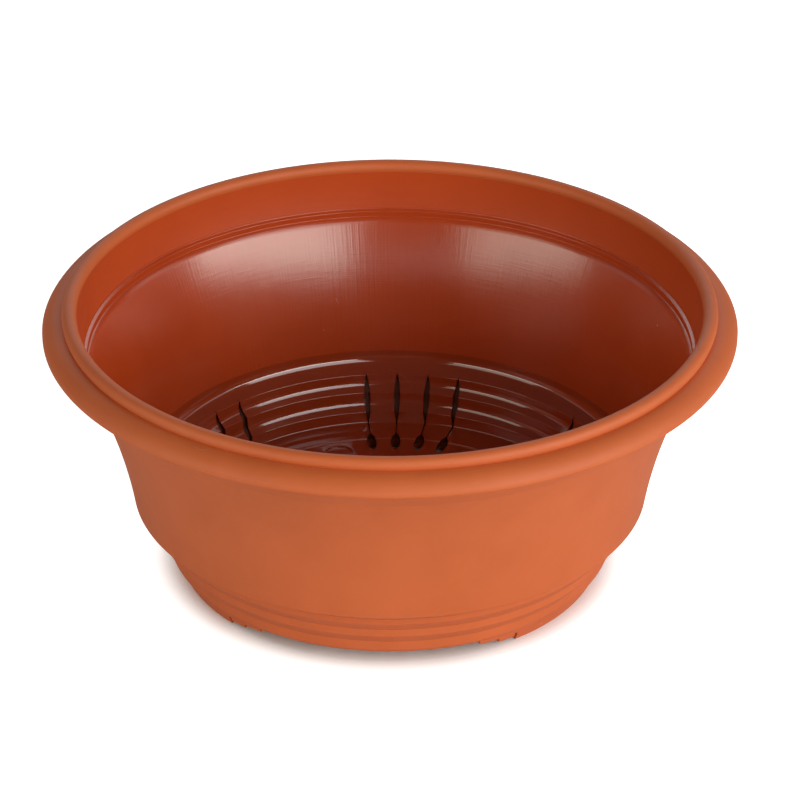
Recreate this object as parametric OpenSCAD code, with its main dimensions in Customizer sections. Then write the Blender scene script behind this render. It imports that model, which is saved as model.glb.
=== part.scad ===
// Round bowl planter, one moulding: a round crown and a rolled bead on the rim,
// a double ledge below the mouth, a flaring wall, three steps down to the floor,
// slots in groups of four, a base ring and three feet with arches between them.
// Radii are measured from the upright axis, heights from the standing plane.

/* [Overall] */
// Height from the standing plane to the top of the crown
pot_h = 147; // [135:1:165]
// Inner radius of the mouth at the crown
mouth_r = 157.5; // [155:0.5:161]
// Thickness of the wall
wall_t = 2.5; // [1.8:0.1:3]

/* [Rim] */
// Radius of the round crown
crown_r = 3.7; // [3.2:0.1:4.2]
// How far the crown stands in over the band below it
crown_lip = 0.9; // [0.4:0.1:1.4]
// Reach of the rim from the crown's centre to its outer edge
rim_reach = 13.8; // [12:0.1:16]
// Depth of the groove between crown and bead, below the crown's top
groove_drop = 5.5; // [5:0.1:6]
// Drop of the bead's outer end, below the groove
bead_drop = 6.4; // [5:0.1:7.5]
// Bulge of the bead over the straight line between its ends
bead_rise = 1.7; // [1:0.1:2.2]
// Height of the upright edge at the rim's outside
lip_h = 2.6; // [2:0.1:4]
// Thickness of the hollow bead and of the upright edge
rim_t = 2.2; // [1.6:0.1:2.6]

/* [Band] */
// Height of the band between the crown's top and the upper ledge
band_h = 26; // [22:0.5:30]
// Inner radius at the foot of the band
band_foot_r = 154.6; // [152.5:0.1:156]
// Width of each ledge
ledge_w = 1.5; // [1:0.1:2]
// Fall of each ledge over its width
ledge_fall = 1; // [0.5:0.1:1.5]
// Height of the short riser between the two ledges
ledge_gap = 3; // [2:0.1:4]

/* [Wall] */
// Inner radius of the shoulder, where the wall meets the first step
shoulder_r = 129.4; // [127:0.1:132]
// Height of the shoulder
shoulder_h = 39.6; // [37:0.1:42]
// Inward bow of the wall from the straight line between its ends
wall_bow = 2.5; // [1:0.1:4]

/* [Steps] */
// Run of the first, wide tread
shoulder_run = 7.7; // [6:0.1:9]
// Fall of the first tread
shoulder_fall = 4; // [3:0.1:5]
// Run of the other treads
tread_run = 4.1; // [3:0.1:5]
// Fall of the other treads
tread_fall = 4.1; // [3:0.1:5]
// Height of the first riser
riser_h = 4.8; // [4:0.1:6]
// How much higher each lower riser is
riser_growth = 0.85; // [0:0.05:1]
// Inward draft of each riser
riser_draft = 0.3; // [0.1:0.1:0.8]
// Fillet in the inner corners of the steps
valley_fillet = 1.6; // [0.8:0.1:2]
// Rounding of the ledges and of the steps' outer corners
edge_fillet = 0.5; // [0.2:0.1:0.8]

/* [Floor] */
// Thickness of the floor
floor_t = 2.7; // [2:0.1:3]
// Radius of the sunk middle of the floor
sink_r = 95.5; // [92:0.1:99]
// Depth of the sunk middle
sink_h = 0.8; // [0.4:0.1:1]
// Rounding of the outer edge below the floor
base_fillet = 4; // [3:0.1:4.5]
// Outer radius of the plain raised ring on the floor
mark_r = 9; // [6:0.5:11]
// Width of the plain ring
mark_w = 1.6; // [1:0.1:2.5]
// Height of the plain ring
mark_h = 0.6; // [0.3:0.1:0.9]
// Distance of the plain ring from the axis
mark_reach = 84; // [78:0.5:84]

/* [Slots] */
// Height of a slot pocket in the steps
pocket_h = 26; // [16:0.5:26]
// Greatest width of a slot pocket
pocket_w = 3.4; // [2:0.1:4.5]
// How far a pocket reaches above the first ridge
pocket_over = 1; // [0:0.1:2]
// Thin web left outside a pocket
web_t = 0.7; // [0.5:0.1:1]
// Length of a drain slot in the floor
drain_l = 17; // [10:0.5:18]
// Greatest width of a drain slot
drain_w = 5.4; // [3:0.1:6]
// Distance of a drain slot's middle from the axis
drain_reach = 92.5; // [90:0.5:94]

/* [Base] */
// Outer radius of the base ring at its lower edge
base_ring_r = 105.9; // [104.5:0.1:107]
// Width of the base ring
base_ring_w = 2.4; // [1.8:0.1:3]
// Clear height below the base ring, between the feet
arch_h = 4.3; // [3:0.1:5]
// Outer radius of a foot on the standing plane
foot_r = 109.3; // [108:0.1:110]
// Outward draft of a foot, from the standing plane up to the floor
foot_draft = 2.9; // [2:0.1:3.4]
// Thickness of a foot's walls
foot_t = 1.8; // [1.4:0.1:2.2]
// How far the base ring stands in over a foot's inner wall
ring_step = 0.4; // [0.2:0.1:0.6]
// Height of the lower stair at a foot's ends, above the standing plane
low_stair_h = 2.6; // [1.5:0.1:3]
// Height of the upper stair
high_stair_h = 4.9; // [4.5:0.1:5.5]

/* [Hidden] */
$fn = 144;

// Steps between the wall and the floor
step_count = 3;
// Groups of slots round the axis, slots in a group, and the angle between two slots
group_count = 6;
group_size = 4;
slot_pitch = 8;
// Feet round the axis, and the angle that one takes up without its stairs
foot_count = 3;
foot_angle = 38;
// Angles that a stair and the notch before it take up
stair_angle = 4.9;
stair_gap_angle = 0.8;
// Direction of the plain ring on the floor, anticlockwise from +Y
mark_turn = 25;

// Shares of the wall's thickness by which outer corners lie off the inner ones
valley_out_share = [1.18, 0.05];
ridge_out_share = [1.1, -0.55];
// Longest share of a side that a fillet may take
fillet_share = 0.45;
// Straight pieces in the rounded outlines
fillet_steps = 3;
crown_steps = 32;
bead_steps = 12;
wall_steps = 16;
// One overrun for all cuts, and the angle that it takes up on a foot
overrun = 1;
overrun_angle = overrun / foot_r * 180 / PI;

crown_at = [mouth_r + crown_r, pot_h - crown_r];
groove_at = [crown_at[0] + crown_r, pot_h - groove_drop];
bead_end = [crown_at[0] + rim_reach, groove_at[1] - bead_drop];
ledge_top = [band_foot_r, pot_h - band_h];
wall_top = ledge_top - [2 * ledge_w, 2 * ledge_fall + ledge_gap];
wall_foot = [shoulder_r, shoulder_h];

// Corner k of the steps, ridge then valley, counted down from the shoulder
function risers_above(k) = k * riser_h + riser_growth * k * (k - 1) / 2;
function ridge(k) = wall_foot - [
    shoulder_run + k * (tread_run + riser_draft),
    shoulder_fall + k * tread_fall + risers_above(k)
];
function valley(k) = ridge(k - 1) - [riser_draft, riser_h + riser_growth * (k - 1)];

floor_h = valley(step_count)[1];
floor_r = valley(step_count)[0];
under_h = floor_h - floor_t;
floor_mid_h = floor_h - floor_t / 2;
// Radius from which the pockets are cut outward
pocket_from_r = ridge(step_count - 1)[0] - tread_run;
foot_in_r = base_ring_r - base_ring_w + ring_step;

// Outer corner that belongs to an inner one
function outside(p, share) = p + wall_t * share;

// Points along an arc from p to q that bulges by rise, to the left where rise is below zero
function arc(p, q, rise, steps) =
    let (
        chord = norm(q - p),
        radius = chord * chord / (8 * abs(rise)) + abs(rise) / 2,
        along = (q - p) / chord,
        right = [along[1], -along[0]] * sign(rise),
        middle = (p + q) / 2 - right * (radius - abs(rise)),
        half = asin(chord / 2 / radius)
    )
    [for (i = [0:steps])
        let (turn = half * (2 * i / steps - 1))
        middle + radius * (right * cos(turn) + along * sin(turn))];

// Arc that rounds corner b of the path a, b, c
function rounded_corner(a, b, c, radius) =
    let (
        u = (a - b) / norm(a - b),
        v = (c - b) / norm(c - b),
        half = acos(u * v) / 2,
        room = fillet_share * min(norm(a - b), norm(c - b)),
        cut = min(radius / tan(half), room),
        r = cut * tan(half),
        middle = b + (u + v) / norm(u + v) * r / sin(half),
        from = b + u * cut - middle,
        to = b + v * cut - middle,
        sweep = acos(min(1, from * to / (r * r)))
    )
    [for (i = [0:fillet_steps])
        let (s = sweep * i / fillet_steps)
        middle + (from * sin(sweep - s) + to * sin(s)) / sin(sweep)];

// Path through points, each rounded by the radius beside it, ends left sharp
function rounded(points, radii) = [
    for (i = [0:len(points) - 1])
        each (radii[i] == 0 ? [points[i]]
            : rounded_corner(points[i - 1], points[i], points[i + 1], radii[i]))
];

// Corners of the steps from the shoulder's tread down to the floor, in rising order
inner_corners = [for (k = [step_count:-1:1]) each [valley(k), ridge(k - 1)]];
outer_corners = [
    for (k = [step_count:-1:1])
        each concat(
            k == step_count ? [[floor_r + wall_t, under_h]] : [outside(valley(k), valley_out_share)],
            [outside(ridge(k - 1), ridge_out_share)])
];

inner_foot = concat([[sink_r, floor_h - sink_h], [sink_r, floor_h]], inner_corners, [wall_foot]);
inner_steps = rounded(
    concat([[0, floor_h - sink_h]], inner_foot, [wall_foot + [0, 2 * valley_fillet]]),
    concat([0, 0, 0, edge_fillet], [for (i = [1:len(inner_corners) - 1]) i % 2 == 0 ? valley_fillet : 0],
        [2 * valley_fillet, 0])
);
outer_steps = rounded(
    concat([[0, under_h - sink_h], [sink_r + floor_t / 2, under_h - sink_h],
        [sink_r + floor_t / 2, under_h]], outer_corners,
        [outside(wall_foot, valley_out_share), outside(wall_foot, valley_out_share) + [0, 2 * edge_fillet]]),
    concat([0, 0, 0, base_fillet], [for (i = [1:len(outer_corners) - 1]) edge_fillet],
        [edge_fillet, 0])
);

// A path without its last point
function but_last(path) = [for (i = [0:len(path) - 2]) path[i]];

inner_wall = arc(wall_foot + [0, 2 * valley_fillet], wall_top, -wall_bow, wall_steps);
outer_wall = arc(outside(wall_foot, valley_out_share) + [0, 2 * edge_fillet],
    wall_top + [wall_t, 0], -wall_bow, wall_steps);

inner_band = rounded(
    [wall_top, wall_top + [ledge_w, ledge_fall], wall_top + [ledge_w, ledge_fall + ledge_gap],
        ledge_top, [mouth_r + crown_lip, pot_h - crown_r]],
    [0, edge_fillet, edge_fillet, edge_fillet, 0]
);

// Room inside the bowl, from the axis to the inner surface
module cavity_profile() {
    polygon(concat(
        but_last(inner_steps), inner_wall, inner_band,
        [[mouth_r + crown_lip, pot_h + overrun], [0, pot_h + overrun]]
    ));
}

// Outer form up to the crown, filled to the axis
module body_profile() {
    polygon(concat(
        but_last(outer_steps), outer_wall,
        [ledge_top + [wall_t, 0], [mouth_r + crown_lip + wall_t, crown_at[1]], [0, crown_at[1]]]
    ));
}

// Space that a pocket may take: the steps' outer form less a thin web
module pocket_profile() {
    polygon(concat(
        [for (p = outer_corners) p + [-web_t, web_t]],
        [outside(wall_foot, valley_out_share) + [-web_t, web_t],
            [pocket_from_r, shoulder_h], [pocket_from_r, floor_h]]
    ));
}

// Bead from the crown out to the upright edge, hollow below
module bead_profile() {
    lip_foot = bead_end - [0, lip_h];
    root = [crown_at[0], groove_at[1]];
    difference() {
        polygon(concat(
            [crown_at, groove_at], arc(groove_at, bead_end, -bead_rise, bead_steps),
            rounded([bead_end, lip_foot, lip_foot - [rim_t, 0], bead_end - [rim_t, 0]],
                [0, rim_t / 2, rim_t / 2, 0]),
            [[mouth_r + crown_lip + wall_t / 2, bead_end[1]]]
        ));
        polygon(concat(
            arc(root - [0, rim_t], bead_end - [rim_t, rim_t / 2], -bead_rise, bead_steps),
            [bead_end - [rim_t, lip_h + overrun], [root[0], bead_end[1] - lip_h - overrun]]
        ));
    }
}

// Round crown with the bead that hangs from it
module rim_profile() {
    polygon([
        for (i = [1:crown_steps])
            crown_at + crown_r * [cos(i * 360 / crown_steps), sin(i * 360 / crown_steps)]
    ]);
    bead_profile();
}

// Ring below the floor, which ends above the standing plane
module ring_profile() {
    translate([base_ring_r - base_ring_w, arch_h]) square([base_ring_w, floor_mid_h - arch_h]);
}

// Outer radius of a foot at a height
function foot_r_at(h) = foot_r + foot_draft * h / under_h;

// Section of a foot with its stairs, up into the floor
module foot_profile() {
    polygon([[foot_in_r, 0], [foot_r, 0], [foot_r_at(floor_mid_h), floor_mid_h],
        [foot_in_r, floor_mid_h]]);
}

// Room between the two walls of a foot
module foot_hollow_profile() {
    low = -overrun;
    top = floor_mid_h + overrun;
    polygon([[foot_in_r + foot_t, low], [foot_r_at(low) - foot_t, low],
        [foot_r_at(top) - foot_t, top], [foot_in_r + foot_t, top]]);
}

// Space cut away below a stair
module stair_profile(stair_h) {
    translate([foot_in_r - overrun, -overrun])
        square([foot_r_at(stair_h) - foot_in_r + 2 * overrun, stair_h + overrun]);
}

// Arc of a section, from one direction to another, clockwise from +Y
module sector(from, to) {
    rotate([0, 0, 90 - to]) rotate_extrude(angle = to - from) children();
}

// Hollow foot on +Y, with a notch, a stair, a notch and a higher stair at each end
module foot() {
    half = foot_angle / 2;
    hollow_half = half - foot_t / foot_r * 180 / PI;
    low_stair = half + stair_gap_angle;
    high_stair = low_stair + stair_angle;
    foot_end = high_stair + stair_gap_angle + stair_angle;
    past_end = foot_end + overrun_angle;
    difference() {
        sector(-foot_end, foot_end) foot_profile();
        sector(-hollow_half, hollow_half) foot_hollow_profile();
        for (side = [0, 1])
            mirror([side, 0, 0]) {
                sector(half, past_end) stair_profile(low_stair_h);
                sector(half, low_stair) stair_profile(high_stair_h);
                sector(high_stair, past_end) stair_profile(high_stair_h);
            }
    }
}

// Turns of all slots, in groups of four round the axis
slot_turns = [
    for (g = [0:group_count - 1])
        for (s = [0:group_size - 1])
            g * 360 / group_count + (s - (group_size - 1) / 2) * slot_pitch
];

// Flat shape between two equal arcs, pointed at both ends, long way along Y
module lens(width, length) {
    radius = (length * length + width * width) / (4 * width);
    intersection() {
        translate([radius - width / 2, 0]) circle(r = radius);
        translate([width / 2 - radius, 0]) circle(r = radius);
    }
}

// Pockets in the steps, which stop a thin web short of the outside
module pockets() {
    middle_h = ridge(0)[1] + pocket_over - pocket_h / 2;
    intersection() {
        for (turn = slot_turns)
            rotate([0, 0, -turn]) translate([0, pocket_from_r, middle_h])
                rotate([-90, 0, 0]) linear_extrude(shoulder_r - pocket_from_r) lens(pocket_w, pocket_h);
        rotate_extrude() pocket_profile();
    }
}

// Drain slots right through the floor
module drains() {
    for (turn = slot_turns)
        rotate([0, 0, -turn]) translate([0, drain_reach, under_h - sink_h - overrun])
            linear_extrude(floor_t + sink_h + 2 * overrun) lens(drain_w, drain_l);
}

// Plain raised ring on the floor
module floor_mark() {
    rotate([0, 0, mark_turn]) translate([0, mark_reach, floor_mid_h - sink_h])
        difference() {
            cylinder(r = mark_r, h = floor_t / 2 + mark_h);
            translate([0, 0, floor_t / 2]) cylinder(r = mark_r - mark_w, h = mark_h + overrun);
        }
}

// Everything that is the same all the way round
module shell() {
    rotate_extrude() {
        difference() {
            body_profile();
            cavity_profile();
        }
        rim_profile();
        ring_profile();
    }
}

module bowl() {
    color("chocolate") {
        difference() {
            union() {
                shell();
                for (f = [0:foot_count - 1])
                    rotate([0, 0, f * 360 / foot_count]) foot();
            }
            pockets();
            drains();
        }
        floor_mark();
    }
}

bowl();
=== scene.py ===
"""Looks of a round bowl planter: one moulded shell with a rolled rim, steps, slots and feet."""

import logging
import math
from dataclasses import dataclass, field
from enum import IntEnum
from typing import Iterable, Optional, Sequence, Union

import bmesh
import bpy
from mathutils import Matrix, Vector


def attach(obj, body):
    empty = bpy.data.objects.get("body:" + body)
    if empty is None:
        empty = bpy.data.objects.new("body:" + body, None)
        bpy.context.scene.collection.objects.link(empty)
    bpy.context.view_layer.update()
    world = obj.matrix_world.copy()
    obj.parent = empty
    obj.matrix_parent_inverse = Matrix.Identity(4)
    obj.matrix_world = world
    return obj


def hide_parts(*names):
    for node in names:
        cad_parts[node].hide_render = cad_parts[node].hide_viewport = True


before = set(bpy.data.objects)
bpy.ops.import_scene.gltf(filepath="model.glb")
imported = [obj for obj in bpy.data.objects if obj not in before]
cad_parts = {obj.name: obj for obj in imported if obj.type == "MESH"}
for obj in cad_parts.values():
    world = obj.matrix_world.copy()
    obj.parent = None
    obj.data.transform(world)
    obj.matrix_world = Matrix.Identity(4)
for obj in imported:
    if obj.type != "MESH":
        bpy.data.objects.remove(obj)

LOG = logging.getLogger("bowl_planter")
MM = 0.001
TURN = 2 * math.pi
QUARTER = TURN / 4
UP = Vector((0, 0, 1))
POINT_WELD = 0.001
FACE_WELD = 0.0005
WHITE = (1, 1, 1, 1)

Mesh = bmesh.types.BMesh
Element = Union[bmesh.types.BMVert, bmesh.types.BMEdge, bmesh.types.BMFace]
Piece = bpy.types.Object
Tree = bpy.types.NodeTree
Node = bpy.types.Node
Socket = bpy.types.NodeSocket
Colour = tuple[float, float, float]
Feed = Union[Socket, float, Sequence[float]]
Inputs = dict[Union[str, int], Feed]
Point = tuple[float, float]


class Surface(IntEnum):
    """Material slots of the bowl, in their order on the mesh."""

    POLISHED = 0
    SATIN = 1
    # faces of the slot cuts, painted near black as the shade inside the pockets, creases and
    # drains
    CUT = 2
    BAND = 3
    # steps, floor and floor ring; their colour is darker than the wall's, painted shade at the
    # bottom of the bowl
    STEPPED = 4


@dataclass(frozen=True)
class Corner:
    """A point of an outline in the upright plane through the axis, in millimetres.

    fillet rounds the corner. bow is the bulge of the stretch that leads here, above zero
    where it bulges to the left of the way, and steps is its number of straight pieces.
    """

    r: float
    z: float
    fillet: float = 0.0
    bow: float = 0.0
    steps: int = 8

    @property
    def place(self) -> Vector:
        """The corner's place in the plane y = 0."""
        return Vector((self.r, 0, self.z))


def only_verts(elements: Iterable[Element]) -> list[bmesh.types.BMVert]:
    """The vertices among some mesh elements."""
    return [e for e in elements if isinstance(e, bmesh.types.BMVert)]


def only_edges(elements: Iterable[Element]) -> list[bmesh.types.BMEdge]:
    """The edges among some mesh elements."""
    return [e for e in elements if isinstance(e, bmesh.types.BMEdge)]


def turned(bm: Mesh, verts: Iterable[bmesh.types.BMVert], angle: float, axis: str = "Z") -> None:
    """Turns some vertices about an axis of the frame."""
    matrix = Matrix.Rotation(angle, 3, axis)
    bmesh.ops.rotate(bm, verts=list(verts), cent=(0, 0, 0), matrix=matrix)


def used_up(name: str, bm: Mesh) -> bpy.types.Mesh:
    """Stores a mesh under construction under a name and frees it."""
    mesh = bpy.data.meshes.new(name)
    bm.to_mesh(mesh)
    bm.free()
    return mesh


@dataclass
class Pen:
    """Draws an outline into a mesh by extruding and spinning its last point."""

    bm: Mesh
    tip: Optional[bmesh.types.BMVert] = None
    fillet_steps: int = 5
    made: list[Element] = field(default_factory=list)

    def start(self, place: Vector) -> None:
        """Puts the first point down."""
        self.tip = self.bm.verts.new(place)
        self.made = [self.tip]

    def line(self, place: Vector) -> None:
        """Extrudes the last point to a new place."""
        out = bmesh.ops.extrude_vert_indiv(self.bm, verts=[self.tip])
        self.tip = out["verts"][0]
        self.made += [self.tip, *out["edges"]]
        bmesh.ops.translate(self.bm, verts=[self.tip], vec=place - self.tip.co)

    def swing(self, centre: Vector, angle: float, steps: int) -> None:
        """Spins the last point round a centre, clockwise from -Y for an angle above zero."""
        before = set(self.bm.verts) | set(self.bm.edges)
        out = bmesh.ops.spin(
            self.bm,
            geom=[self.tip],
            cent=centre,
            axis=(0, 1, 0),
            dvec=(0, 0, 0),
            angle=angle,
            steps=steps,
            use_merge=False,
            use_duplicate=False,
        )
        self.tip = next(e for e in out["geom_last"] if isinstance(e, bmesh.types.BMVert))
        self.made += (set(self.bm.verts) | set(self.bm.edges)) - before

    def curve(self, end: Vector, bow: float, steps: int) -> None:
        """Swings the last point to a place along an arc with a given bulge.

        Args:
            end: Where the arc ends.
            bow: Its bulge over the straight line, above zero to the left of the way.
            steps: Number of straight pieces.
        """
        begin = self.tip.co.copy()
        chord = end - begin
        radius = chord.length**2 / (8 * abs(bow)) + abs(bow) / 2
        left = Vector((-chord.z, 0, chord.x)).normalized() * math.copysign(1, bow)
        centre = (begin + end) / 2 + left * (abs(bow) - radius)
        angle = 4 * math.atan(2 * abs(bow) / chord.length)
        self.swing(centre, math.copysign(angle, bow), steps)

    def draw(self, corners: Sequence[Corner], closed: bool = False) -> list[Element]:
        """Draws a whole outline.

        Args:
            corners: Its corners in order.
            closed: Whether the last corner joins the first.

        Returns:
            The new vertices and edges.
        """
        self.start(corners[0].place)
        ring = [*corners, corners[0]] if closed else list(corners)
        for before, corner, after in zip(ring, ring[1:], [*ring[2:], None]):
            if after is None or not corner.fillet:
                self._advance(corner.place, corner)
                continue
            back = (before.place - corner.place).normalized()
            ahead = (after.place - corner.place).normalized()
            half = back.angle(ahead) / 2
            cut = corner.fillet / math.tan(half)
            middle = corner.place + (back + ahead).normalized() * corner.fillet / math.sin(half)
            self._advance(corner.place + back * cut, corner)
            side = math.copysign(1, ahead.cross(back).y)
            self.swing(middle, side * (math.pi - 2 * half), self.fillet_steps)
        if closed:
            bmesh.ops.remove_doubles(self.bm, verts=only_verts(self.made), dist=POINT_WELD)
            kept = set(only_verts(e for e in self.made if e.is_valid))
            joined = {e for v in kept for e in v.link_edges if e.other_vert(v) in kept}
            self.made = [*kept, *joined]
        return self.made

    def _advance(self, place: Vector, corner: Corner) -> None:
        """Goes to a place, straight or along the corner's bow."""
        if corner.bow:
            self.curve(place, corner.bow, corner.steps)
        else:
            self.line(place)


def revolve(
    bm: Mesh,
    corners: Sequence[Corner],
    steps: int,
    angle: float = TURN,
    begin: float = 0.0,
    closed: bool = False,
    surface: Surface = Surface.SATIN,
) -> None:
    """Turns an outline about the axis and dresses the faces that it makes.

    Args:
        bm: Mesh that takes the faces.
        corners: The outline.
        steps: Number of pieces round the turn.
        angle: How far it turns. Less than a full turn gets flat ends.
        begin: Where it begins, anticlockwise from +X.
        closed: Whether the outline closes on itself.
        surface: Finish of the new faces.
    """
    part = bmesh.new()
    drawn = Pen(part).draw(corners, closed)
    turned(part, part.verts, begin)
    whole = math.isclose(angle, TURN)
    out = bmesh.ops.spin(
        part,
        geom=drawn,
        cent=(0, 0, 0),
        axis=UP,
        dvec=(0, 0, 0),
        angle=angle,
        steps=steps,
        use_merge=whole,
        use_duplicate=False,
    )
    if not whole:
        for end in (drawn, out["geom_last"]):
            bmesh.ops.edgenet_fill(part, edges=only_edges(end))
    bmesh.ops.remove_doubles(part, verts=part.verts, dist=FACE_WELD)
    bmesh.ops.recalc_face_normals(part, faces=part.faces)
    for face in part.faces:
        face.material_index = surface
        face.smooth = True
    mesh = used_up("part", part)
    bm.from_mesh(mesh)
    bpy.data.meshes.remove(mesh)


def in_scene(name: str, data: bpy.types.ID) -> Piece:
    """Adds an object with its data to the scene."""
    piece = bpy.data.objects.new(name, data)
    bpy.context.scene.collection.objects.link(piece)
    return piece


def mesh_object(name: str, bm: Mesh) -> Piece:
    """Turns a mesh in millimetres into an object in metres and frees the mesh."""
    bmesh.ops.recalc_face_normals(bm, faces=bm.faces)
    bmesh.ops.scale(bm, vec=(MM, MM, MM), verts=bm.verts)
    return in_scene(name, used_up(name, bm))


def carve(piece: Piece, tool: Piece, operation: str) -> None:
    """Cuts, trims or adds to a piece with another, and removes the other.

    Args:
        piece: What is changed.
        tool: The closed shape that changes it.
        operation: DIFFERENCE, INTERSECT or UNION.
    """
    cut = piece.modifiers.new("carve", "BOOLEAN")
    cut.solver = "EXACT"
    cut.use_self = True
    cut.operation = operation
    cut.object = tool
    bpy.context.view_layer.update()
    graph = bpy.context.evaluated_depsgraph_get()
    mesh = bpy.data.meshes.new_from_object(piece.evaluated_get(graph))
    piece.modifiers.remove(cut)
    old, piece.data = piece.data, mesh
    mesh.name = old.name
    bpy.data.meshes.remove(old)
    shape = tool.data
    bpy.data.objects.remove(tool)
    bpy.data.meshes.remove(shape)


def together(name: str, pieces: Sequence[Piece]) -> Piece:
    """Puts several pieces into one object of a new name and removes them."""
    bm = bmesh.new()
    for piece in pieces:
        bm.from_mesh(piece.data)
        bpy.data.meshes.remove(piece.data)
    return in_scene(name, used_up(name, bm))


def shifted(place: Point, way: Point) -> Point:
    """A place of an outline, moved by a way."""
    return place[0] + way[0], place[1] + way[1]


@dataclass
class Steps:
    """The three steps between wall and floor, in millimetres."""

    shoulder_r: float = 129.4
    shoulder_h: float = 39.6
    shoulder_run: float = 7.7
    shoulder_fall: float = 4.0
    tread_run: float = 4.1
    tread_fall: float = 4.1
    riser_h: float = 4.8
    riser_growth: float = 0.85
    riser_draft: float = 0.3
    count: int = 3

    def ridge(self, k: int) -> Point:
        """Outer corner k, counted down from the shoulder."""
        above = k * self.riser_h + self.riser_growth * k * (k - 1) / 2
        return (
            self.shoulder_r - self.shoulder_run - k * (self.tread_run + self.riser_draft),
            self.shoulder_h - self.shoulder_fall - k * self.tread_fall - above,
        )

    def valley(self, k: int) -> Point:
        """Inner corner k, at the foot of riser k."""
        r, z = self.ridge(k - 1)
        return r - self.riser_draft, z - self.riser_h - self.riser_growth * (k - 1)

    @property
    def floor_h(self) -> float:
        """Height of the floor at the foot of the last riser."""
        return self.valley(self.count)[1]


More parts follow.
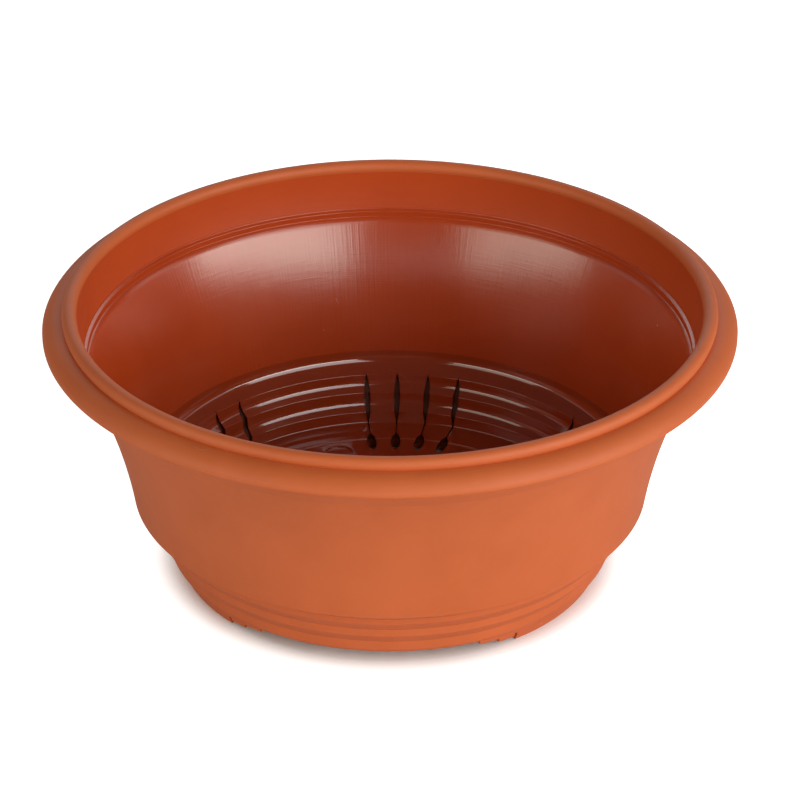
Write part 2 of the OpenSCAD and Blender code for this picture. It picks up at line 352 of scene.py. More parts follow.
@dataclass
class Shell:
    """Wall, rim and floor, which are the same all the way round, in millimetres."""

    steps: Steps
    height: float = 147.0
    mouth_r: float = 157.5
    wall: float = 2.5
    crown_r: float = 3.7
    crown_lip: float = 0.9
    lip_angle: float = 33.0
    gloss_over: float = 0.8
    rim_reach: float = 13.8
    groove_drop: float = 5.5
    bead_drop: float = 6.4
    bead_rise: float = 1.7
    lip_h: float = 2.6
    rim_t: float = 2.2
    band_h: float = 26.0
    band_foot_r: float = 154.6
    ledge_w: float = 1.5
    ledge_fall: float = 1.0
    ledge_gap: float = 3.0
    ledge_fillet: float = 0.35
    outer_ledge_fillet: float = 0.5
    lip_fillet: float = 0.9
    hollow_gap: float = 0.3
    hollow_draft: float = 0.8
    hollow_drop: float = 0.6
    wall_bow: float = 2.5
    shoulder_fillet: float = 8.0
    rise_share: float = 0.8
    rise_draft: float = 0.9
    outer_rise: float = 2.0
    outer_rise_draft: float = 0.25
    valley_fillet: float = 6.5
    toe_fillet: float = 1.2
    ridge_fillet: float = 0.5
    floor_t: float = 2.7
    sink_r: float = 95.5
    sink_h: float = 0.8
    sink_draft: float = 0.35
    sink_fillet: float = 0.3
    base_fillet: float = 4.0
    outer_valley_fillet: float = 0.9
    outer_ridge_fillet: float = 0.8
    valley_out: Point = (2.95, 0.125)
    ridge_out: Point = (2.75, -1.375)
    wall_steps: int = 28
    outer_wall_steps: int = 24
    crown_steps: int = 26
    bead_steps: int = 14
    hollow_steps: int = 8
    segments: int = 216

    @property
    def crown(self) -> Vector:
        """Centre of the crown's section."""
        return Vector((self.mouth_r + self.crown_r, 0, self.height - self.crown_r))

    @property
    def wall_top(self) -> Point:
        """Where the wall ends below the two ledges."""
        return (
            self.band_foot_r - 2 * self.ledge_w,
            self.height - self.band_h - 2 * self.ledge_fall - self.ledge_gap,
        )

    @property
    def under_h(self) -> float:
        """Height of the floor's underside."""
        return self.steps.floor_h - self.floor_t

    @property
    def crown_start(self) -> Vector:
        """Where the crown's round section begins, above the band."""
        lip = math.radians(self.lip_angle)
        return self.crown - Vector((math.cos(lip), 0, math.sin(lip))) * self.crown_r

    @property
    def gloss_end(self) -> Corner:
        """Where the polished inside ends, just above the upper ledge."""
        foot = Vector((self.band_foot_r, 0, self.height - self.band_h))
        place = foot + (self.crown_start - foot).normalized() * self.gloss_over
        return Corner(place.x, place.z)

    @property
    def rise(self) -> Corner:
        """Where the steps' outline hands over to the wall's."""
        height = self.steps.shoulder_h + self.rise_share * self.shoulder_fillet
        return Corner(self.steps.shoulder_r + self.rise_draft, height)

    def stepped_outline(self) -> list[Corner]:
        """The inside from the middle of the floor up to the foot of the wall."""
        steps, sunk = self.steps, self.steps.floor_h - self.sink_h
        corners = [
            Corner(0, sunk),
            Corner(self.sink_r, sunk, self.sink_fillet),
            Corner(self.sink_r + self.sink_draft, steps.floor_h, self.sink_fillet),
        ]
        for k in range(steps.count, 0, -1):
            fillet = self.toe_fillet if k == steps.count else self.valley_fillet
            corners.append(Corner(*steps.valley(k), fillet))
            corners.append(Corner(*steps.ridge(k - 1), self.ridge_fillet))
        shoulder = Corner(steps.shoulder_r, steps.shoulder_h, self.shoulder_fillet)
        return [*corners, shoulder, self.rise]

    def polished_outline(self) -> list[Corner]:
        """The inside from the foot of the wall up to the upper ledge."""
        top_r, top_h = self.wall_top
        ledge_r, ledge_h = top_r + self.ledge_w, top_h + self.ledge_fall
        return [
            self.rise,
            Corner(top_r, top_h, bow=self.wall_bow, steps=self.wall_steps),
            Corner(ledge_r, ledge_h, self.ledge_fillet),
            Corner(ledge_r, ledge_h + self.ledge_gap, self.ledge_fillet),
            Corner(self.band_foot_r, self.height - self.band_h, self.ledge_fillet),
            self.gloss_end,
        ]

    def satin_outline(self) -> list[Corner]:
        """The rim and the whole outside down to the middle of the base."""
        top_r, top_h = self.wall_top
        crown, r, inner = self.crown, self.crown_r, self.crown_start
        groove = Vector((crown.x + r, 0, self.height - self.groove_drop))
        dip = crown.z - groove.z
        outer = Vector((crown.x + math.sqrt(r * r - dip * dip), 0, groove.z))
        centre_drop = crown.z - (inner.z + outer.z) / 2
        edge = Vector((crown.x + self.rim_reach, 0, groove.z - self.bead_drop))
        hollow_r = self.mouth_r + self.crown_lip + self.wall + self.hollow_gap
        ledge_r = self.band_foot_r + self.wall
        corners = [
            Corner(inner.x, inner.z),
            Corner(outer.x, outer.z, bow=r + centre_drop, steps=self.crown_steps),
            Corner(groove.x, groove.z),
            Corner(edge.x, edge.z, bow=self.bead_rise, steps=self.bead_steps),
            Corner(edge.x, edge.z - self.lip_h, self.lip_fillet),
            Corner(edge.x - self.rim_t, edge.z - self.lip_h, self.lip_fillet),
            Corner(edge.x - self.rim_t, edge.z - self.hollow_drop),
            Corner(hollow_r, groove.z - self.rim_t, bow=-self.bead_rise, steps=self.hollow_steps),
            Corner(hollow_r - self.hollow_draft, groove.z - 2 * self.rim_t),
            Corner(ledge_r, self.height - self.band_h, self.outer_ledge_fillet),
            Corner(top_r + self.wall, top_h, self.outer_ledge_fillet),
        ]
        return corners + self._outer_steps()

    def _outer_steps(self) -> list[Corner]:
        """The outside from the wall's foot down to the middle of the base."""
        steps = self.steps
        foot_r, foot_h = shifted((steps.shoulder_r, steps.shoulder_h), self.valley_out)
        rise_r, rise_h = foot_r + self.outer_rise_draft, foot_h + self.outer_rise
        corners = [
            Corner(rise_r, rise_h, bow=-self.wall_bow, steps=self.outer_wall_steps),
            Corner(foot_r, foot_h, self.outer_valley_fillet),
        ]
        for k in range(1, steps.count + 1):
            ridge = shifted(steps.ridge(k - 1), self.ridge_out)
            corners.append(Corner(*ridge, self.outer_ridge_fillet))
            if k < steps.count:
                valley = shifted(steps.valley(k), self.valley_out)
                corners.append(Corner(*valley, self.outer_valley_fillet))
        edge_r = steps.valley(steps.count)[0] + self.wall
        sunk_r = self.sink_r + self.floor_t / 2
        return [
            *corners,
            Corner(edge_r, self.under_h, self.base_fillet),
            Corner(sunk_r, self.under_h),
            Corner(sunk_r, self.under_h - self.sink_h),
            Corner(0, self.under_h - self.sink_h),
        ]

    def build(self, bm: Mesh) -> None:
        """Turns the outlines into one closed shell."""
        band = [self.gloss_end, Corner(self.crown_start.x, self.crown_start.z)]
        revolve(bm, self.stepped_outline(), self.segments, surface=Surface.STEPPED)
        revolve(bm, self.polished_outline(), self.segments, surface=Surface.POLISHED)
        revolve(bm, band, self.segments, surface=Surface.BAND)
        revolve(bm, self.satin_outline(), self.segments, surface=Surface.SATIN)
        bmesh.ops.remove_doubles(bm, verts=bm.verts, dist=POINT_WELD)


@dataclass
class Slots:
    """Pointed pockets in the steps, creases below them and drains in the floor, in millimetres."""

    shell: Shell
    groups: int = 6
    in_group: int = 4
    pitch: float = 8.0
    pocket_h: float = 26.0
    pocket_w: float = 3.4
    pocket_over: float = 1.0
    web: float = 0.7
    drain_l: float = 17.0
    drain_w: float = 5.4
    drain_reach: float = 92.5
    crease_w: float = 0.9
    crease_depth: float = 0.6
    crease_over: float = 2.0
    curve_steps: int = 14
    web_segments: int = 180

    def turns(self) -> list[float]:
        """Directions of all slots, clockwise from +Y, in radians."""
        middle = (self.in_group - 1) / 2
        return [
            math.radians(g * 360 / self.groups + (s - middle) * self.pitch)
            for g in range(self.groups)
            for s in range(self.in_group)
        ]

    def _lens(self, bm: Mesh, width: float, length: float, depth: float) -> None:
        """Adds a flat pointed shape, upright in the plane y = 0, and pulls it out along +Y."""
        ends = (-length / 2, length / 2)
        points = [Corner(0, end, bow=width / 2, steps=self.curve_steps) for end in ends]
        self._thicken(bm, points, depth)

    def _thicken(self, bm: Mesh, corners: Sequence[Corner], depth: float) -> None:
        """Fills a closed outline and pulls it out along +Y."""
        drawn = Pen(bm).draw(corners, closed=True)
        face = bmesh.ops.edgenet_fill(bm, edges=only_edges(drawn))["faces"]
        out = bmesh.ops.extrude_face_region(bm, geom=face, use_keep_orig=True)
        bmesh.ops.translate(bm, verts=only_verts(out["geom"]), vec=(0, depth, 0))

    def _repeat(self, bm: Mesh) -> None:
        """Copies what is drawn at +Y to all slots."""
        first, *others = self.turns()
        source = [*bm.verts, *bm.edges, *bm.faces]
        for turn in others:
            copy = bmesh.ops.duplicate(bm, geom=source)["geom"]
            turned(bm, only_verts(copy), -turn)
        turned(bm, only_verts(source), -first)
        # the cut faces take the near-black finish, which paints the shade inside the slots
        for face in bm.faces:
            face.material_index = Surface.CUT

    def pockets(self) -> Piece:
        """The pockets' shapes, trimmed to a thin web inside the steps' outer form."""
        steps, shell = self.shell.steps, self.shell
        inside = steps.ridge(steps.count - 1)[0] - steps.tread_run
        bm = bmesh.new()
        self._lens(bm, self.pocket_w, self.pocket_h, steps.shoulder_r + shell.wall - inside)
        lift = steps.ridge(0)[1] + self.pocket_over - self.pocket_h / 2
        bmesh.ops.translate(bm, verts=bm.verts, vec=(0, inside, lift))
        self._repeat(bm)
        pockets = mesh_object("pocket_cutters", bm)
        bm = bmesh.new()
        outline = [Corner(inside, steps.floor_h + self.web)]
        outer = steps.valley(steps.count)[0] + shell.wall - self.web
        outline.append(Corner(outer, steps.floor_h + self.web))
        for k in range(steps.count, 0, -1):
            ridge, valley = steps.ridge(k - 1), steps.valley(k)
            if k < steps.count:
                outline.append(self._webbed(valley, shell.valley_out))
            outline.append(self._webbed(ridge, shell.ridge_out))
        outline.append(self._webbed((steps.shoulder_r, steps.shoulder_h), shell.valley_out))
        outline.append(Corner(inside, steps.shoulder_h))
        revolve(bm, outline, self.web_segments, closed=True, surface=Surface.CUT)
        carve(pockets, mesh_object("web_form", bm), "INTERSECT")
        return pockets

    def _webbed(self, corner: Point, out: Point) -> Corner:
        """A corner of the outside, drawn in by the web."""
        return Corner(*shifted(shifted(corner, out), (-self.web, self.web)))

    def creases(self) -> Piece:
        """Narrow creases that join each pocket with its drain."""
        steps, deep, reach = self.shell.steps, self.crease_depth, self.drain_reach
        low = steps.floor_h - self.shell.sink_h - deep
        ridge, valley = steps.ridge(steps.count - 1), steps.valley(steps.count - 1)
        top = valley[1] + self.crease_over
        corners = [
            Corner(reach, low),
            Corner(steps.valley(steps.count)[0] + deep, low),
            Corner(ridge[0] + deep, ridge[1] - deep / 2),
            Corner(valley[0] + deep, valley[1] - deep / 2),
            Corner(valley[0] + deep, top),
            Corner(reach, top),
        ]
        bm = bmesh.new()
        self._thicken(bm, corners, self.crease_w)
        bmesh.ops.translate(bm, verts=bm.verts, vec=(0, -self.crease_w / 2, 0))
        turned(bm, bm.verts, QUARTER)
        self._repeat(bm)
        return mesh_object("crease_cutters", bm)

    def drains(self) -> Piece:
        """Pointed slots right through the floor."""
        bm = bmesh.new()
        thick = self.shell.floor_t + 4 * self.shell.sink_h
        self._lens(bm, self.drain_w, self.drain_l, thick)
        turned(bm, bm.verts, QUARTER, "X")
        low = self.shell.under_h - 2 * self.shell.sink_h
        bmesh.ops.translate(bm, verts=bm.verts, vec=(0, self.drain_reach, low))
        self._repeat(bm)
        return mesh_object("drain_cutters", bm)


@dataclass
class Base:
    """Ring below the floor and three hollow feet with stairs at their ends, in millimetres."""

    shell: Shell
    ring_r: float = 105.9
    ring_w: float = 2.4
    ring_step: float = 0.4
    arch_h: float = 4.3
    foot_r: float = 109.3
    foot_draft: float = 2.9
    foot_t: float = 1.8
    low_stair_h: float = 2.6
    high_stair_h: float = 4.9
    feet: int = 3
    foot_end: float = 30.4
    half: float = 19.0
    notch: float = 0.8
    high_stair: float = 24.7
    edge_fillet: float = 0.35
    overrun: float = 2.0
    end_overrun: float = 1.0

    @property
    def top(self) -> float:
        """Height inside the floor at which everything below ends."""
        return self.shell.steps.floor_h - self.shell.floor_t / 2

    @property
    def inner(self) -> float:
        """Inner radius of the feet."""
        return self.ring_r - self.ring_w + self.ring_step

    def _cone(self, h: float) -> float:
        """Outer radius of a foot at a height."""
        return self.foot_r + self.foot_draft * h / self.shell.under_h

    def build(self) -> Piece:
        """Makes the ring with the feet on it."""
        turns = [foot * 360 / self.feet for foot in range(self.feet)]
        bm = bmesh.new()
        for turn in turns:
            self._sector(bm, self._foot_outline(), turn, -self.foot_end, self.foot_end)
        feet = mesh_object("feet", bm)
        bm = bmesh.new()
        wall = math.degrees(self.foot_t / self.foot_r)
        for turn in turns:
            self._sector(bm, self._hollow_outline(), turn, wall - self.half, self.half - wall)
            self._stairs(bm, turn)
        carve(feet, mesh_object("foot_cutters", bm), "DIFFERENCE")
        ring = [
            Corner(self.ring_r - self.ring_w, self.top),
            Corner(self.ring_r - self.ring_w, self.arch_h, self.edge_fillet),
            Corner(self.ring_r, self.arch_h, self.edge_fillet),
            Corner(self.ring_r, self.top),
        ]
        bm = bmesh.new()
        revolve(bm, ring, self.shell.segments, closed=True)
        carve(feet, mesh_object("base_ring", bm), "UNION")
        return feet

    def _stairs(self, bm: Mesh, turn: float) -> None:
        """Adds what is cut away at both ends of the foot in a direction."""
        end = self.foot_end + self.end_overrun
        for low, high in ((-end, -self.half), (self.half, end)):
            self._sector(bm, self._cut_outline(self.low_stair_h), turn, low, high)
        for side in (-1, 1):
            for low, high in ((self.half, self.half + self.notch), (self.high_stair, end)):
                ends = sorted((side * low, side * high))
                self._sector(bm, self._cut_outline(self.high_stair_h), turn, *ends)

    def _foot_outline(self) -> list[Corner]:
        """Section of a whole foot, from the ground up into the floor."""
        return [
            Corner(self.inner, self.top),
            Corner(self.inner, 0, self.edge_fillet),
            Corner(self._cone(0), 0, self.edge_fillet),
            Corner(self._cone(self.top), self.top),
        ]

    def _hollow_outline(self) -> list[Corner]:
        """Section of a foot's hollow, up to the floor's underside."""
        under = self.shell.under_h
        return [
            Corner(self.ring_r, under),
            Corner(self.ring_r, -self.overrun),
            Corner(self._cone(-self.overrun) - self.foot_t, -self.overrun),
            Corner(self._cone(under) - self.foot_t, under),
        ]

    def _cut_outline(self, height: float) -> list[Corner]:
        """Section of what is cut away below a stair."""
        outer = self._cone(self.top) + self.overrun
        return [
            Corner(self.inner - self.overrun, height),
            Corner(self.inner - self.overrun, -self.overrun),
            Corner(outer, -self.overrun),
            Corner(outer, height),
        ]

    def _sector(
        self, bm: Mesh, outline: list[Corner], turn: float, low: float, high: float
    ) -> None:
        """Adds an arc of an outline.

        Args:
            bm: Mesh that takes it.
            outline: Its closed section.
            turn: Direction of the foot, in degrees clockwise from +Y.
            low: Where the arc begins, from that direction.
            high: Where it ends.
        """
        angle = high - low
        steps = max(2, round(angle / 360 * self.shell.segments))
        begin = math.radians(90 - turn - high)
        revolve(bm, outline, steps, math.radians(angle), begin, closed=True)


@dataclass
class FloorRing:
    """Plain raised ring on the floor, in millimetres."""

    shell: Shell
    radius: float = 9.0
    width: float = 1.6
    height: float = 0.6
    reach: float = 84.0
    turn: float = 25.0
    fillet: float = 0.25
    segments: int = 72

    def build(self) -> Piece:
        """Makes the ring at its place."""
        bm = bmesh.new()
        floor = self.shell.steps.floor_h - self.shell.sink_h
        outline = [
            Corner(self.radius - self.width, floor - self.height),
            Corner(self.radius - self.width, floor + self.height, self.fillet),
            Corner(self.radius, floor + self.height, self.fillet),
            Corner(self.radius, floor - self.height),
        ]
        revolve(bm, outline, self.segments, closed=True, surface=Surface.STEPPED)
        place = Matrix.Rotation(math.radians(self.turn), 3, "Z") @ Vector((0, self.reach, 0))
        bmesh.ops.translate(bm, verts=bm.verts, vec=place)
        return mesh_object("floor_ring", bm)


class Group:
    """A shader node group under construction, with named inputs and outputs."""

    def __init__(self, name: str) -> None:
        """Makes an empty group."""
        self.tree = bpy.data.node_groups.new(name, "ShaderNodeTree")
        self.source = self.tree.nodes.new("NodeGroupInput")
        self.sink = self.tree.nodes.new("NodeGroupOutput")

    def value_in(self, name: str, default: float) -> Socket:
        """Adds a number to the group's inputs and returns where it comes in."""
        item = self.tree.interface.new_socket(name, in_out="INPUT", socket_type="NodeSocketFloat")
        item.default_value = default
        return self.source.outputs[name]

    def vector_in(self, name: str) -> Socket:
        """Adds a vector to the group's inputs and returns where it comes in."""
        self.tree.interface.new_socket(name, in_out="INPUT", socket_type="NodeSocketVector")
        return self.source.outputs[name]

    def value_out(self, name: str, socket: Socket) -> None:
        """Adds a number to the group's outputs."""
        self.tree.interface.new_socket(name, in_out="OUTPUT", socket_type="NodeSocketFloat")
        self.tree.links.new(socket, self.sink.inputs[name])


@dataclass
class Graph:
    """Short hand for the nodes of one tree."""

    tree: Tree

    def node(self, kind: str, inputs: Optional[Inputs] = None, **settings: object) -> Node:
        """Adds a node, sets its properties and feeds its inputs, named or counted."""
        node = self.tree.nodes.new(kind)
        for name, value in settings.items():
            setattr(node, name, value)
        for key, value in (inputs or {}).items():
            self.feed(node.inputs[key], value)
        return node

    def feed(self, socket: Socket, value: Feed) -> None:
        """Links a socket, or sets its value."""
        if isinstance(value, Socket):
            self.tree.links.new(value, socket)
        else:
            socket.default_value = value

    def math(self, operation: str, *values: Feed, clamp: bool = False) -> Socket:
        """Adds a Math node and returns its result."""
        inputs = dict(enumerate(values))
        node = self.node("ShaderNodeMath", inputs, operation=operation, use_clamp=clamp)
        return node.outputs[0]

    def mix(self, share: Feed, low: Feed, high: Feed) -> Socket:
        """Blends two colours, given as sockets or as red, green, blue and 1."""
        inputs = {"Factor": share, "A": low, "B": high}
        return self.node("ShaderNodeMix", inputs, data_type="RGBA").outputs["Result"]

    def ramp(self, value: Feed, low: float, high: float) -> Socket:
        """Maps a range of a value smoothly to the range from 0 to 1."""
        inputs = {"Value": value, "From Min": low, "From Max": high}
        node = self.node("ShaderNodeMapRange", inputs, interpolation_type="SMOOTHSTEP")
        return node.outputs["Result"]

    def noise(self, vector: Feed, scale: Feed, detail: float, rough: float, seed: float) -> Socket:
        """Adds a noise of four dimensions, the fourth of which is its seed."""
        inputs = {"Vector": vector, "Scale": scale, "Detail": detail, "Roughness": rough}
        node = self.node("ShaderNodeTexNoise", inputs | {"W": seed}, noise_dimensions="4D")
        return node.outputs["Fac"]

    def join(self, x: Feed, y: Feed, z: Feed) -> Socket:
        """Joins three numbers to a vector."""
        return self.node("ShaderNodeCombineXYZ", {"X": x, "Y": y, "Z": z}).outputs[0]

    def split(self, vector: Socket) -> tuple[Socket, ...]:
        """Splits a vector into three numbers."""
        return tuple(self.node("ShaderNodeSeparateXYZ", {"Vector": vector}).outputs)

    def group(self, tree: Tree, **inputs: Feed) -> Node:
        """Places a node group with its own values."""
        return self.node("ShaderNodeGroup", inputs, node_tree=tree)


def round_coordinates() -> Tree:
    """Node group that turns a place on the bowl into its radius, its direction and its height."""
    group = Group("round_coordinates")
    g = Graph(group.tree)
    place = group.vector_in("Place")
    x, y, z = g.split(place)
    radius = g.math("SQRT", g.math("ADD", g.math("MULTIPLY", x, x), g.math("MULTIPLY", y, y)))
    safe = g.math("MAXIMUM", radius, 1e-5)
    group.value_out("Radius", radius)
    group.value_out("Height", z)
    group.value_out("Right", g.math("DIVIDE", x, safe))
    group.value_out("Back", g.math("DIVIDE", y, safe))
    return group.tree


def mottle(patch_share: float = 0.4, patch_scale: float = 0.27) -> Tree:
    """Node group for the faint cloudy shade and the fine grain of moulded plastic.

    Args:
        patch_share: Share of the wide patches in the shade, beside the clouds.
        patch_scale: Scale of the patches over that of the clouds.

    Returns:
        The node group.
    """
    group = Group("mottle")
    g = Graph(group.tree)
    place = group.vector_in("Place")
    cloud_scale = group.value_in("Cloud Scale", 22)
    grain_scale = group.value_in("Grain Scale", 900)
    cloud = g.noise(place, cloud_scale, 4, 0.6, 1.7)
    patch = g.noise(place, g.math("MULTIPLY", cloud_scale, patch_scale), 2, 0.5, 4.1)
    grain = g.noise(place, grain_scale, 2, 0.6, 8.3)
    clouds = g.math("MULTIPLY", cloud, 1 - patch_share)
    group.value_out("Shade", g.math("ADD", clouds, g.math("MULTIPLY", patch, patch_share)))
    group.value_out("Grain", grain)
    return group.tree


def specks() -> Tree:
    """Node group for sparse small specks of dust and tiny nicks."""
    group = Group("specks")
    g = Graph(group.tree)
    place = group.vector_in("Place")
    scale = group.value_in("Scale", 60)
    size = group.value_in("Size", 0.045)
    share = group.value_in("Share", 0.2)
    inputs = {"Vector": place, "Scale": scale}
    cells = g.node("ShaderNodeTexVoronoi", inputs, voronoi_dimensions="3D", feature="F1").outputs
    pick = g.node("ShaderNodeSeparateColor", {"Color": cells["Color"]}).outputs
    reach = g.math("MULTIPLY", size, pick["Green"])
    dot = g.math("LESS_THAN", cells["Distance"], reach)
    chosen = g.math("LESS_THAN", pick["Red"], share)
    group.value_out("Mask", g.math("MULTIPLY", dot, chosen))
    return group.tree


def scuffs(bend_scale: float = 0.6, rarity: float = 0.68) -> Tree:
    """Node group for a few thin faint scratches.

    Args:
        bend_scale: Scale of the noise that ends the scratches, over that of their lines.
        rarity: Value that this noise has to pass where a scratch shows.

    Returns:
        The node group.
    """
    group = Group("scuffs")
    g = Graph(group.tree)
    place = group.vector_in("Place")
    scale = group.value_in("Scale", 30)
    width = group.value_in("Width", 0.0010)
    bend = g.noise(place, g.math("MULTIPLY", scale, bend_scale), 1, 0.5, 2.9)
    sheet = g.noise(place, scale, 0, 0.5, 6.6)
    line = g.math("ABSOLUTE", g.math("SUBTRACT", sheet, 0.5))
    thin = g.math("LESS_THAN", line, width)
    group.value_out("Mask", g.math("MULTIPLY", thin, g.math("GREATER_THAN", bend, rarity)))
    return group.tree


@dataclass(frozen=True)
class MouldMarks:
    """Patterns that the mould leaves: streaks up the wall and fine lines round it."""

    streak_scale: float = 900.0
    streak_around: float = 0.15
    streak_up: float = 0.03
    line_scale: float = 1500.0
    line_around: float = 0.004

    def streaks(self, g: Graph, polar: Node) -> Socket:
        """Noise that changes fast round the bowl and slowly with height."""
        out = polar.outputs
        right = g.math("MULTIPLY", out["Right"], self.streak_around)
        back = g.math("MULTIPLY", out["Back"], self.streak_around)
        height = g.math("MULTIPLY", out["Height"], self.streak_up)
        return g.noise(g.join(right, back, height), self.streak_scale, 1, 0.5, 3.3)

    def lines(self, g: Graph, polar: Node) -> Socket:
        """Noise that changes fast with radius and height and slowly round the bowl."""
        out = polar.outputs
        right = g.math("MULTIPLY", out["Right"], self.line_around)
        return g.noise(g.join(right, out["Radius"], out["Height"]), self.line_scale, 2, 0.6, 5.2)


@dataclass(frozen=True)
class Wear:
    """Colour and strength of dust specks and scratches."""

    speck: Colour = (0.75, 0.45, 0.3)
    speck_share: float = 0.5
    scratch: Colour = (0.8, 0.5, 0.36)
    scratch_share: float = 0.12
    scratch_rough: float = 0.15


@dataclass(frozen=True)
class Terracotta:
    """Terracotta-coloured plastic in one of its finishes; relief heights are in millimetres."""

    name: str
    deep: Colour
    pale: Colour
    roughness: float
    grain_height: float
    rough_change: float = 0.04
    lines_height: float = 0.003
    streak_height: float = 0.0
    speck_share: float = 0.0
    specular: float = 0.5
    coat: float = 0.0
    coat_rough: float = 0.05
    tone_low: float = 0.3
    tone_high: float = 0.7
    marks: MouldMarks = MouldMarks()
    wear: Wear = Wear()

    def build(self, groups: dict[str, Tree]) -> bpy.types.Material:
        """Makes the material with the shared node groups, given by name."""
        material = bpy.data.materials.new(self.name)
        material.use_nodes = True
        material.diffuse_color = (*self.deep, 1)
        g = Graph(material.node_tree)
        inputs = material.node_tree.nodes["Principled BSDF"].inputs
        place = g.node("ShaderNodeTexCoord").outputs["Object"]
        polar = g.group(groups["round_coordinates"], Place=place)
        cloudy = g.group(groups["mottle"], Place=place)
        dust = g.group(groups["specks"], Place=place, Share=self.speck_share)
        scratch = g.group(groups["scuffs"], Place=place).outputs["Mask"]
        streaks, lines = self.marks.streaks(g, polar), self.marks.lines(g, polar)
        g.feed(inputs["Base Color"], self._colour(g, cloudy, dust.outputs["Mask"], scratch))
        g.feed(inputs["Roughness"], self._rough(g, streaks, scratch))
        g.feed(inputs["Normal"], self._normal(g, cloudy, lines, streaks))
        inputs["Specular IOR Level"].default_value = self.specular
        inputs["Coat Weight"].default_value = self.coat
        inputs["Coat Roughness"].default_value = self.coat_rough
        return material

    def _colour(self, g: Graph, cloudy: Node, dust: Socket, scratch: Socket) -> Socket:
        """Mottled colour with specks and scratches."""
        tone = g.ramp(cloudy.outputs["Shade"], self.tone_low, self.tone_high)
        colour = g.mix(tone, (*self.deep, 1), (*self.pale, 1))
        flecks = g.math("MULTIPLY", dust, self.wear.speck_share)
        colour = g.mix(flecks, colour, (*self.wear.speck, 1))
        worn = g.math("MULTIPLY", scratch, self.wear.scratch_share)
        return g.mix(worn, colour, (*self.wear.scratch, 1))

    def _rough(self, g: Graph, streaks: Socket, scratch: Socket) -> Socket:
        """Roughness that changes with the streaks and rises in scratches."""
        change = g.math("MULTIPLY", g.math("SUBTRACT", streaks, 0.5), self.rough_change)
        rough = g.math("ADD", change, self.roughness)
        worn = g.math("MULTIPLY", scratch, self.wear.scratch_rough)
        return g.math("ADD", rough, worn, clamp=True)

    def _normal(self, g: Graph, cloudy: Node, lines: Socket, streaks: Socket) -> Socket:
        """Relief of grain, lines and streaks."""
        relief = g.math("MULTIPLY", cloudy.outputs["Grain"], self.grain_height)
        relief = g.math("ADD", relief, g.math("MULTIPLY", lines, self.lines_height))
        relief = g.math("ADD", relief, g.math("MULTIPLY", streaks, self.streak_height))
        inputs = {"Strength": 1, "Distance": MM, "Height": relief}
        return g.node("ShaderNodeBump", inputs).outputs["Normal"]


POLISHED = Terracotta(
    name="polished_inside",
    deep=(0.44, 0.050, 0.008),
    pale=(0.50, 0.060, 0.011),
    roughness=0.23,
    rough_change=0.14,
    grain_height=0.004,
    lines_height=0.055,
    streak_height=0.070,
    speck_share=0.45,
    specular=1.0,
)
SATIN = Terracotta(
    name="satin_outside",
    deep=(0.51, 0.104, 0.026),
    pale=(0.58, 0.124, 0.034),
    roughness=0.56,
    grain_height=0.010,
    speck_share=0.04,
    specular=0.4,
)
# Glossy finish of the steps and the floor, in a darker copy of the inside's colour: the darkness
# is painted shade at the bottom of the bowl.
STEPPED = Terracotta(
    name="polished_steps_painted_shade",
    deep=(0.32, 0.041, 0.009),
    pale=(0.37, 0.050, 0.012),
    roughness=0.10,
    rough_change=0.08,
    grain_height=0.001,
    speck_share=0.10,
    specular=1.0,
    coat=0.8,
)
BAND = Terracotta(
    name="matte_band",
    deep=(0.48, 0.059, 0.009),
    pale=(0.54, 0.070, 0.012),
    roughness=0.5,
    grain_height=0.008,
    speck_share=0.06,
    specular=0.4,
)
# Near-black copy of the terracotta on the walls of the pockets, creases and drains: painted shade
# inside these recesses.
CUT = Terracotta(
    name="slot_walls_painted_shade",
    deep=(0.08, 0.014, 0.004),
    pale=(0.10, 0.018, 0.005),
    roughness=0.4,
    grain_height=0.006,
    lines_height=0.0,
)


FINISHES = {
    Surface.POLISHED: POLISHED,
    Surface.SATIN: SATIN,
    Surface.CUT: CUT,
    Surface.BAND: BAND,
    Surface.STEPPED: STEPPED,
}


@dataclass
class BowlPlanter:
    """The whole bowl, one moulding."""

    node: str = "bowl"
    sharp_angle: float = 40.0

    def __post_init__(self) -> None:
        """Makes the parts that share the shell's sizes."""
        self.shell = Shell(Steps())
        self.slots = Slots(self.shell)
        self.base = Base(self.shell)
        self.ring = FloorRing(self.shell)

    def model(self) -> Piece:
        """Builds the mesh: the shell, cut by its slots, with the base and the floor ring."""
        bm = bmesh.new()
        self.shell.build(bm)
        piece = mesh_object("bowl_moulding", bm)
        cutters = (self.slots.pockets(), self.slots.creases(), self.slots.drains())
        carve(piece, together("slot_cutters", cutters), "DIFFERENCE")
        carve(piece, together("additions", (self.base.build(), self.ring.build())), "UNION")
        piece.data.shade_smooth()
        piece.data.set_sharp_from_angle(angle=math.radians(self.sharp_angle))
        return piece

    def dress(self, piece: Piece) -> None:
        """Gives each surface its finish, in the order of the mesh's slots."""
        groups = {tree.name: tree for tree in (round_coordinates(), mottle(), specks(), scuffs())}
        for surface in Surface:
            piece.data.materials.append(FINISHES[surface].build(groups))

    def build(self) -> Piece:
        """Makes the finished piece and puts it in the frame."""
        piece = self.model()
        self.dress(piece)
        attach(piece, "root")
        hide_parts(self.node)
        return piece


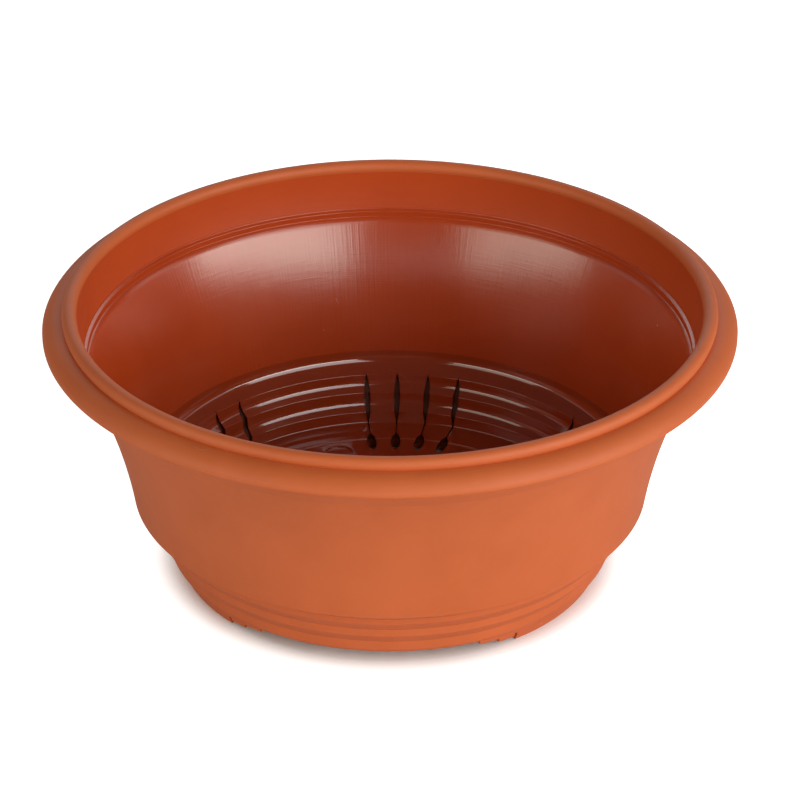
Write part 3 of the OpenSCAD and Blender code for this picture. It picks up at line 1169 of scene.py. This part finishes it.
def aimed(
    name: str, data: bpy.types.ID, aim_h: float, azimuth: float, elevation: float, distance: float
) -> Piece:
    """Adds a lamp or camera that looks at a place on the axis.

    Args:
        name: Name of the new object.
        data: The lamp or camera.
        aim_h: Height of the place.
        azimuth: Direction to the object, in degrees to the right of -Y.
        elevation: Direction to the object above the ground, in degrees.
        distance: Distance of the object from the place.

    Returns:
        The new object, linked to the scene.
    """
    around, up = math.radians(azimuth), math.radians(elevation)
    flat = math.cos(up)
    way = Vector((math.sin(around) * flat, -math.cos(around) * flat, math.sin(up)))
    holder = in_scene(name, data)
    holder.location = Vector((0, 0, aim_h)) + way * distance
    holder.rotation_mode = "QUATERNION"
    holder.rotation_quaternion = (-way).to_track_quat("-Z", "Y")
    return holder


@dataclass(frozen=True)
class SoftBox:
    """A rectangular studio lamp that faces the bowl; directions are in degrees."""

    name: str
    azimuth: float
    elevation: float
    distance: float
    width: float
    height: float
    radiance: float
    aim_h: float = 0.07
    tint: Colour = (1.0, 1.0, 1.0)

    def build(self) -> Piece:
        """Adds the lamp."""
        lamp = bpy.data.lights.new(self.name, "AREA")
        lamp.shape = "RECTANGLE"
        lamp.size, lamp.size_y = self.width, self.height
        lamp.energy = self.radiance * math.pi * self.width * self.height
        lamp.color = self.tint
        return aimed(self.name, lamp, self.aim_h, self.azimuth, self.elevation, self.distance)


@dataclass(frozen=True)
class Studio:
    """Floor, world, lamps and camera."""

    camera_turn: float = 5.9
    camera_elevation: float = 29.15
    camera_distance: float = 1.750
    aim_h: float = 0.0873
    lens: float = 153.9
    shift_x: float = 0.0126
    sensor: float = 36.0
    clip: tuple[float, float] = (0.05, 50.0)
    floor_size: float = 12.0
    floor_segments: int = 96
    floor_colour: float = 0.8
    floor_glow: float = 0.90
    shade_reach: float = 0.025
    shade_low: float = 0.2
    shade_high: float = 0.75
    shade_samples: int = 16
    sky: float = 0.03
    lamps: tuple[SoftBox, ...] = (
        SoftBox("key_box", 55.9, 16, 2.0, 2.50, 0.96, 4.7, tint=(1.0, 1.0, 0.92)),
        SoftBox("fill_box", -51.1, 16, 2.0, 1.87, 0.86, 2.7, tint=(1.0, 0.98, 0.84)),
        SoftBox("key_top", 50.0, 39, 2.0, 1.90, 0.62, 2.2),
        SoftBox("fill_top", -48.0, 36, 2.0, 1.40, 0.50, 1.1, tint=(1.0, 0.98, 0.80)),
        SoftBox("front_card", -1.1, 9, 2.0, 1.70, 0.49, 1.3),
        SoftBox("right_card", 108, 20, 2.0, 1.2, 0.9, 0.7),
        SoftBox("left_card", -100, 20, 2.0, 1.2, 0.9, 0.3),
        SoftBox("back_card", 186, 28, 2.0, 2.4, 1.2, 1.4),
    )

    def camera(self) -> None:
        """Adds the camera at the photograph's viewing angle."""
        data = bpy.data.cameras.new("view")
        data.lens, data.sensor_width, data.sensor_fit = self.lens, self.sensor, "AUTO"
        data.shift_x = self.shift_x
        data.clip_start, data.clip_end = self.clip
        place = (self.aim_h, self.camera_turn, self.camera_elevation, self.camera_distance)
        bpy.context.scene.camera = aimed("view", data, *place)

    def floor(self) -> None:
        """Adds the pale floor: white to the camera, with the lamps' shadow on its paper and a
        painted shade round the bowl.
        """
        bm = bmesh.new()
        radius = self.floor_size / 2 / MM
        bmesh.ops.create_circle(bm, cap_ends=True, segments=self.floor_segments, radius=radius)
        floor = mesh_object("floor", bm)
        material = bpy.data.materials.new("floor_paper")
        material.use_nodes = True
        g = Graph(material.node_tree)
        material.node_tree.nodes.clear()
        way = g.node("ShaderNodeLightPath").outputs
        seen = g.math("MAXIMUM", way["Is Camera Ray"], way["Is Transmission Ray"])
        # Ambient occlusion dims the camera-seen white glow near the bowl: a painted shade under
        # and round its base.
        reach = {"Distance": self.shade_reach}
        gap = g.node("ShaderNodeAmbientOcclusion", reach, samples=self.shade_samples)
        clear = g.ramp(gap.outputs["AO"], self.shade_low, self.shade_high)
        glow = g.math("MULTIPLY", g.math("MULTIPLY", seen, clear), self.floor_glow)
        bright = g.node("ShaderNodeEmission", {"Color": WHITE, "Strength": glow})
        paper = g.node("ShaderNodeBsdfDiffuse", {"Color": (self.floor_colour,) * 3 + (1,)})
        both = g.node("ShaderNodeAddShader", {0: paper.outputs[0], 1: bright.outputs[0]})
        g.node("ShaderNodeOutputMaterial", {"Surface": both.outputs[0]})
        floor.data.materials.append(material)

    def world(self) -> None:
        """Makes a dim world that shows white behind the floor."""
        world = bpy.data.worlds.new("studio")
        world.use_nodes = True
        g = Graph(world.node_tree)
        world.node_tree.nodes.clear()
        dim = g.node("ShaderNodeBackground", {"Color": WHITE, "Strength": self.sky}).outputs[0]
        white = g.node("ShaderNodeBackground", {"Color": WHITE}).outputs[0]
        seen = g.node("ShaderNodeLightPath").outputs["Is Camera Ray"]
        mix = g.node("ShaderNodeMixShader", {"Fac": seen, 1: dim, 2: white})
        g.node("ShaderNodeOutputWorld", {"Surface": mix.outputs[0]})
        bpy.context.scene.world = world

    def build(self) -> None:
        """Sets the whole studio up."""
        bpy.context.scene.view_settings.view_transform = "Standard"
        self.camera()
        self.floor()
        self.world()
        for lamp in self.lamps:
            lamp.build()


def main() -> None:
    """Builds the bowl and the studio and reports what was made."""
    logging.basicConfig(level=logging.INFO, format="%(name)s: %(message)s")
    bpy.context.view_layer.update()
    bowl = BowlPlanter().build()
    LOG.info("%s: %d faces", bowl.name, len(bowl.data.polygons))
    Studio().build()


if __name__ == "__main__":
    main()
